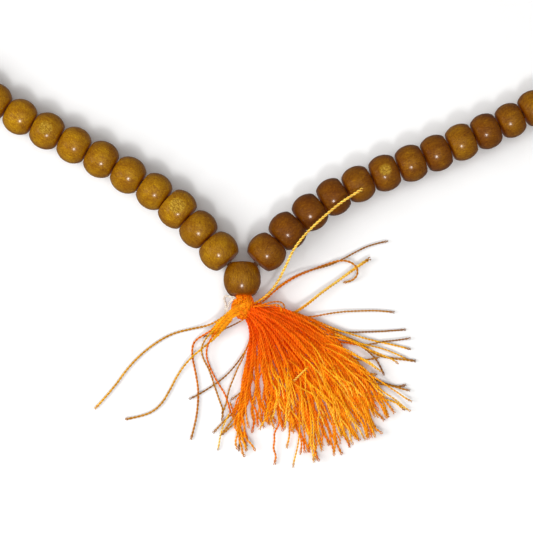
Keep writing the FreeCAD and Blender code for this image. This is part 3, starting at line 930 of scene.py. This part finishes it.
def skirt_thread(rng, lock, number, flyaway=False):
    """One thread of a lock of the fan: its path in metres and its colours.

    A flyaway shows only from partway down, on top of the others and aslant.
    """
    count, spread, height, way = LOCKS[lock]
    share = np.linspace(0, 1, SHARE_STEPS)
    root = blended(FIRST_ROOT, LAST_ROOT, lock / (len(LOCKS) - 1))
    root = np.array(root) + rng.normal(0, 0.35, 2)
    path = through([root] + way, share)
    heading = np.gradient(path, axis=0)
    heading /= np.linalg.norm(heading, axis=1)[:, None]
    across = np.stack([-heading[:, 1], heading[:, 0]], -1)
    level = rng.uniform(0, 1)
    place_across = rng.uniform(0, 1) if flyaway else (number + rng.uniform(0, 1)) / count
    aside = spread * (2 * place_across - 1) + rng.normal(0, 0.45)
    swing = aside * share**0.85
    for size, waves, growth in WAVES:
        swing = swing + rng.normal(0, size) * share**growth * np.sin(
            TAU * waves * share + rng.uniform(0, TAU)
        )
    begin = rng.uniform(0.42, 0.70) if flyaway else 0
    if flyaway:
        swing = swing + rng.normal(0, 10) * np.maximum(share - begin, 0)
    path = path + across * swing[:, None]
    low = through([(v, 0) for v in PILE_LOW], share)[:, 0]
    high = through([(v, 0) for v in PILE_HIGH], share)[:, 0] * height
    lift = low + np.maximum(high - low, 0) * level
    lift = lift + 0.16 * share * np.sin(TAU * 4 * share + rng.uniform(0, TAU))
    end = rng.triangular(0.74, 0.99, 1.03)
    if flyaway:
        end = min(begin + rng.uniform(0.22, 0.42), 1)
        rise = np.clip((share - begin) / (end - begin), 0, 1)
        lift = np.maximum(high, low) * (0.7 + 0.45 * np.sin(math.pi * rise))
    along = np.minimum(begin + share * (end - begin), 1)
    points = np.column_stack([path, np.maximum(lift, 0.3)])
    points = np.stack([np.interp(along, share, points[:, k]) for k in range(3)], -1)
    warm = rng.uniform(0, 1)
    # Threads low in the pile, and every thread at its root in the head, are painted deeper red: painted shade of
    # the threads above; the golden tips are partly the threads' own colour and partly a painted highlight where
    # the spread threads catch the light
    shaded_root = blended(DEEP_RED, RED_ORANGE, level)
    body = blended(RED_ORANGE, ORANGE, min(1, 0.35 + level))
    body = blended(body, BRIGHT, 0.3 * warm * warm)
    tip = blended(ORANGE, GOLD, rng.uniform(0.25, 0.85)) if rng.random() < 0.75 else ORANGE
    stops = [
        (0, shaded_root), (0.28, blended(shaded_root, body, 0.3)), (0.55, body),
        (0.8, blended(body, tip, 0.6)), (0.95, tip), (1, blended(tip, OCHRE, 0.5)),
    ]
    if flyaway:
        stops = [
            (0, body), (0.5, blended(BRIGHT, GOLD, warm)),
            (0.9, blended(GOLD, PALE, warm)), (1, OCHRE),
        ]
    return np.array(BASE) + points * MM, stops


def make_skirt(material):
    """The fan: the threads of each lock, and short threads that cross over them."""
    rng = np.random.default_rng(5)
    threads = []
    for lock, (count, _, _, _) in enumerate(LOCKS):
        for number in range(count):
            path, stops = skirt_thread(rng, lock, number)
            radius = rng.uniform(0.20, 0.27) * MM
            pitch = rng.uniform(1.4, 1.8) * MM
            threads.append((path, radius, pitch, rng.uniform(0, TAU), 0.5, stops))
    for _ in range(FLYAWAYS):
        path, stops = skirt_thread(rng, int(rng.integers(*FLYAWAY_LOCKS)), 0, True)
        threads.append((path, 0.2 * MM, 1.5 * MM, rng.uniform(0, TAU), 0.5, stops))
    for number in range(SKIRT_PIECES):
        piece = thread_piece(
            f"tassel_skirt_threads_{number + 1}", threads[number::SKIRT_PIECES],
            material, None,
        )
        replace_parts(piece, "tassel_skirt")
        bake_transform(piece)


# Threads wound about the head, in the lock that sweeps to the left, and in the neck
LUMP_THREADS = 54
SWEEP_THREADS = 26
NECK_THREADS = 34
HEAD_CENTRE = (0.2, -6.8, 3.6)


def sweep_thread(points, first, last, radius, rng, scatter=0.12):
    """A head thread through given points with a little scatter."""
    points = [tuple(np.array(p) + rng.normal(0, scatter, 3)) for p in points]
    stops = [(0, first), (1, last)]
    path = spline_route(points)
    return path, radius * MM, rng.uniform(1.4, 1.8) * MM, rng.uniform(0, TAU), 0.4, stops


def lump_threads(rng):
    """Threads wound about the head in every direction."""
    threads = []
    for _ in range(LUMP_THREADS):
        tilt = rng.normal(0, 1, 3)
        tilt /= np.linalg.norm(tilt)
        side = np.cross(tilt, (0.3, 0.2, 1.0))
        side /= np.linalg.norm(side)
        other = np.cross(tilt, side)
        start = rng.uniform(0, TAU)
        reach = rng.uniform(1.35, 1.95)
        arc = []
        for step in range(6):
            angle = start + 0.62 * step
            spot = reach * (math.cos(angle) * side + math.sin(angle) * other) * (1.0, 0.95, 0.9)
            arc.append(tuple(spot + np.array(HEAD_CENTRE)))
        first = blended(RED_ORANGE, ORANGE, rng.uniform(0, 1))
        last = blended(ORANGE, BRIGHT, rng.uniform(0, 1))
        threads.append(sweep_thread(arc, first, last, 0.23, rng, 0.05))
    return threads


def lock_threads(rng):
    """The lock that leaves the guru bead, crosses the head and sweeps to the lower left."""
    threads = []
    for index in range(SWEEP_THREADS):
        s = index / (SWEEP_THREADS - 1)
        u = rng.uniform(-1, 1)
        reach = rng.uniform(0.55, 1.0)
        way = [
            (2.0 - 0.8 * s, -5.0 - 1.8 * s, 4.5 + 0.4 * u),
            (0.9 - 0.3 * s, -5.3 - 2.0 * s, 5.4 - 0.4 * s),
            (-0.8, -5.9 - 1.9 * s, 5.2 - 0.5 * s + 0.2 * u),
            (-2.5 + 0.2 * s, -6.8 - 1.6 * s, 4.0 - 0.3 * s + 0.3 * u),
            (-4.3 + 0.5 * s, -8.1 - 1.6 * s, 2.8 - 0.3 * s + 0.3 * u),
            (-6.0 + 0.9 * s, -9.6 - 1.8 * s, 1.7 + 0.4 * u),
            (-7.4 + 1.4 * s, -11.2 - 1.8 * s, 1.0 + 0.3 * u),
        ]
        way = way[:4] + [blended(way[3], spot, reach) for spot in way[4:]]
        first = blended(ORANGE, BRIGHT, rng.uniform(0.2, 1))
        last = blended(BRIGHT, GOLD, rng.uniform(0.2, 1)) if index % 4 else OCHRE
        threads.append(sweep_thread(way, first, last, rng.uniform(0.18, 0.24), rng))
    return threads


def curl_threads(rng):
    """Small loops that stand off the neck and the fan."""
    loops = [
        [(-0.9, -4.3, 5.0), (-0.4, -3.9, 5.5), (0.1, -4.3, 5.7), (-0.2, -4.9, 5.6),
         (-0.8, -4.7, 5.3)],
        [(0.3, -4.4, 5.3), (0.8, -4.0, 5.5), (1.2, -4.5, 5.5), (0.8, -5.1, 5.5), (0.2, -5.0, 5.4)],
        [(-1.6, -5.4, 4.6), (-1.2, -4.8, 5.1), (-0.5, -5.0, 5.5), (-0.6, -5.7, 5.5),
         (-1.4, -5.9, 5.1)],
        [(2.3, -6.2, 5.1), (4.8, -5.5, 5.2), (7.2, -4.7, 3.9), (8.8, -5.0, 3.3), (9.2, -6.4, 3.2),
         (9.0, -7.6, 3.4)],
        [(3.0, -6.0, 4.8), (5.2, -5.9, 4.7), (7.4, -5.4, 4.0), (8.4, -6.0, 3.8), (8.4, -7.2, 3.9)],
    ]
    threads = []
    for loop in loops:
        last = OCHRE if len(loop) > 5 else BRIGHT
        threads.append(sweep_thread(loop, ORANGE, last, 0.2, rng, 0.03))
    return threads


def neck_threads(rng):
    """Threads that come out of the guru bead's wide hole and spread over the head."""
    threads = []
    for index in range(NECK_THREADS):
        angle = TAU * index / NECK_THREADS + rng.uniform(-0.1, 0.1)
        c, s = math.cos(angle), math.sin(angle)
        size = rng.uniform(0.7, 1.0)
        way = [
            (0.75 * size * c, -2.8, 4.0 + 0.75 * size * s),
            (1.45 * size * c + 0.25, -3.6, 4.0 + 1.1 * size * s),
            (2.1 * size * c + 0.2, -4.4, 4.0 + 1.5 * size * s),
            (2.6 * size * c, -5.6, 3.8 + 1.7 * size * s),
            (2.35 * size * c - 0.05, -7.0, 3.6 + 1.6 * size * s),
        ]
        first = blended(RED_ORANGE, ORANGE, rng.uniform(0, 1))
        # Threads on the neck's upper side end brighter: a painted highlight on the top of the neck
        last = blended(ORANGE, BRIGHT, max(0, s))
        threads.append(sweep_thread(way, first, last, 0.22, rng, 0.08))
    return threads


def make_head(material):
    """Threads of the bound head, of the lock that sweeps to the left, and of the neck."""
    rng = np.random.default_rng(11)
    head = thread_piece(
        "tassel_head_threads", lump_threads(rng) + lock_threads(rng) + curl_threads(rng),
        material, "tassel_top",
    )
    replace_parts(head, "tassel_head")
    piece = thread_piece("tassel_neck_threads", neck_threads(rng), material, None)
    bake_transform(piece)


# ---------------------------------------------------------------- stage


FLOOR_REACH = 3.0
FLOOR_CORNERS = ((-1, -1), (1, -1), (1, 1), (-1, 1))
# Just under the object, so that nothing lies exactly in the floor's surface
FLOOR_HEIGHT = -0.0001


def make_stage(material):
    mesh = bpy.data.meshes.new("floor")
    corners = [(x * FLOOR_REACH, y * FLOOR_REACH, 0) for x, y in FLOOR_CORNERS]
    mesh.from_pydata(corners, [], [(0, 1, 2, 3)])
    mesh.materials.append(material)
    floor = bpy.data.objects.new("floor", mesh)
    floor.location.z = FLOOR_HEIGHT
    # The beads don't mirror the white floor or catch its light, so that their undersides stay dark
    floor.visible_glossy = False
    floor.visible_diffuse = False
    bpy.context.scene.collection.objects.link(floor)


def area_light(name, offset, size, power, reflected):
    """A disk light aimed at the guru bead. Unless reflected, glossy surfaces don't mirror it."""
    data = bpy.data.lights.new(name, "AREA")
    data.shape = "DISK"
    data.size = size
    data.energy = power
    light = bpy.data.objects.new(name, data)
    light.location = BASE + Vector(offset)
    light.rotation_euler = (-Vector(offset)).to_track_quat("-Z", "Y").to_euler()
    light.visible_glossy = reflected
    bpy.context.scene.collection.objects.link(light)


AMBIENT = (1.0, 0.96, 0.91, 1)
AMBIENT_STRENGTH = 0.12
# Name, place from the guru bead in metres, size in metres, power in watts, and whether
# glossy surfaces mirror it
LIGHTS = (
    ("overhead", (0.06, -0.22, 1.0), 1.3, 6.4, False),
    ("window", (-0.82, -0.10, 0.64), 0.75, 8.4, False),
    ("lamp", (0.02, -0.72, 0.98), 0.22, 4.2, True),
)


def make_lights():
    world = bpy.data.worlds.new("studio")
    bpy.context.scene.world = world
    world.use_nodes = True
    background = world.node_tree.nodes["Background"]
    background.inputs[0].default_value = AMBIENT
    background.inputs[1].default_value = AMBIENT_STRENGTH
    for light in LIGHTS:
        area_light(*light)
    bpy.context.scene.view_settings.view_transform = "Standard"


# ---------------------------------------------------------------- build

make_camera()
thread_look = thread_material("plied_thread", 0.35, 0.40, (0.26, 0.13, 0.0))
loose_look = thread_material("loose_thread", 0.25, 0.36, (0.18, 0.09, 0.0))
white_look = thread_material("white_string", 0.1, 0.6, (0.02, 0.02, 0.02))
make_cords(loose_look)
make_short_threads(loose_look, white_look)
make_beads(wood_material())
make_skirt(thread_look)
make_head(thread_look)
# The cord is painted dark brown, though the string's end is white: painted shade of the gaps between beads
gap_shaded_string_look = string_material("cotton_string_painted_shade", (0.09, 0.035, 0.012), (0.20, 0.085, 0.030))
for node, piece in frame["nodes"].items():
    if node.startswith("cord_") or node in ("guru_cord", "tassel_stem"):
        piece.data.materials.clear()
        piece.data.materials.append(gap_shaded_string_look)
make_stage(floor_material())
make_lights()
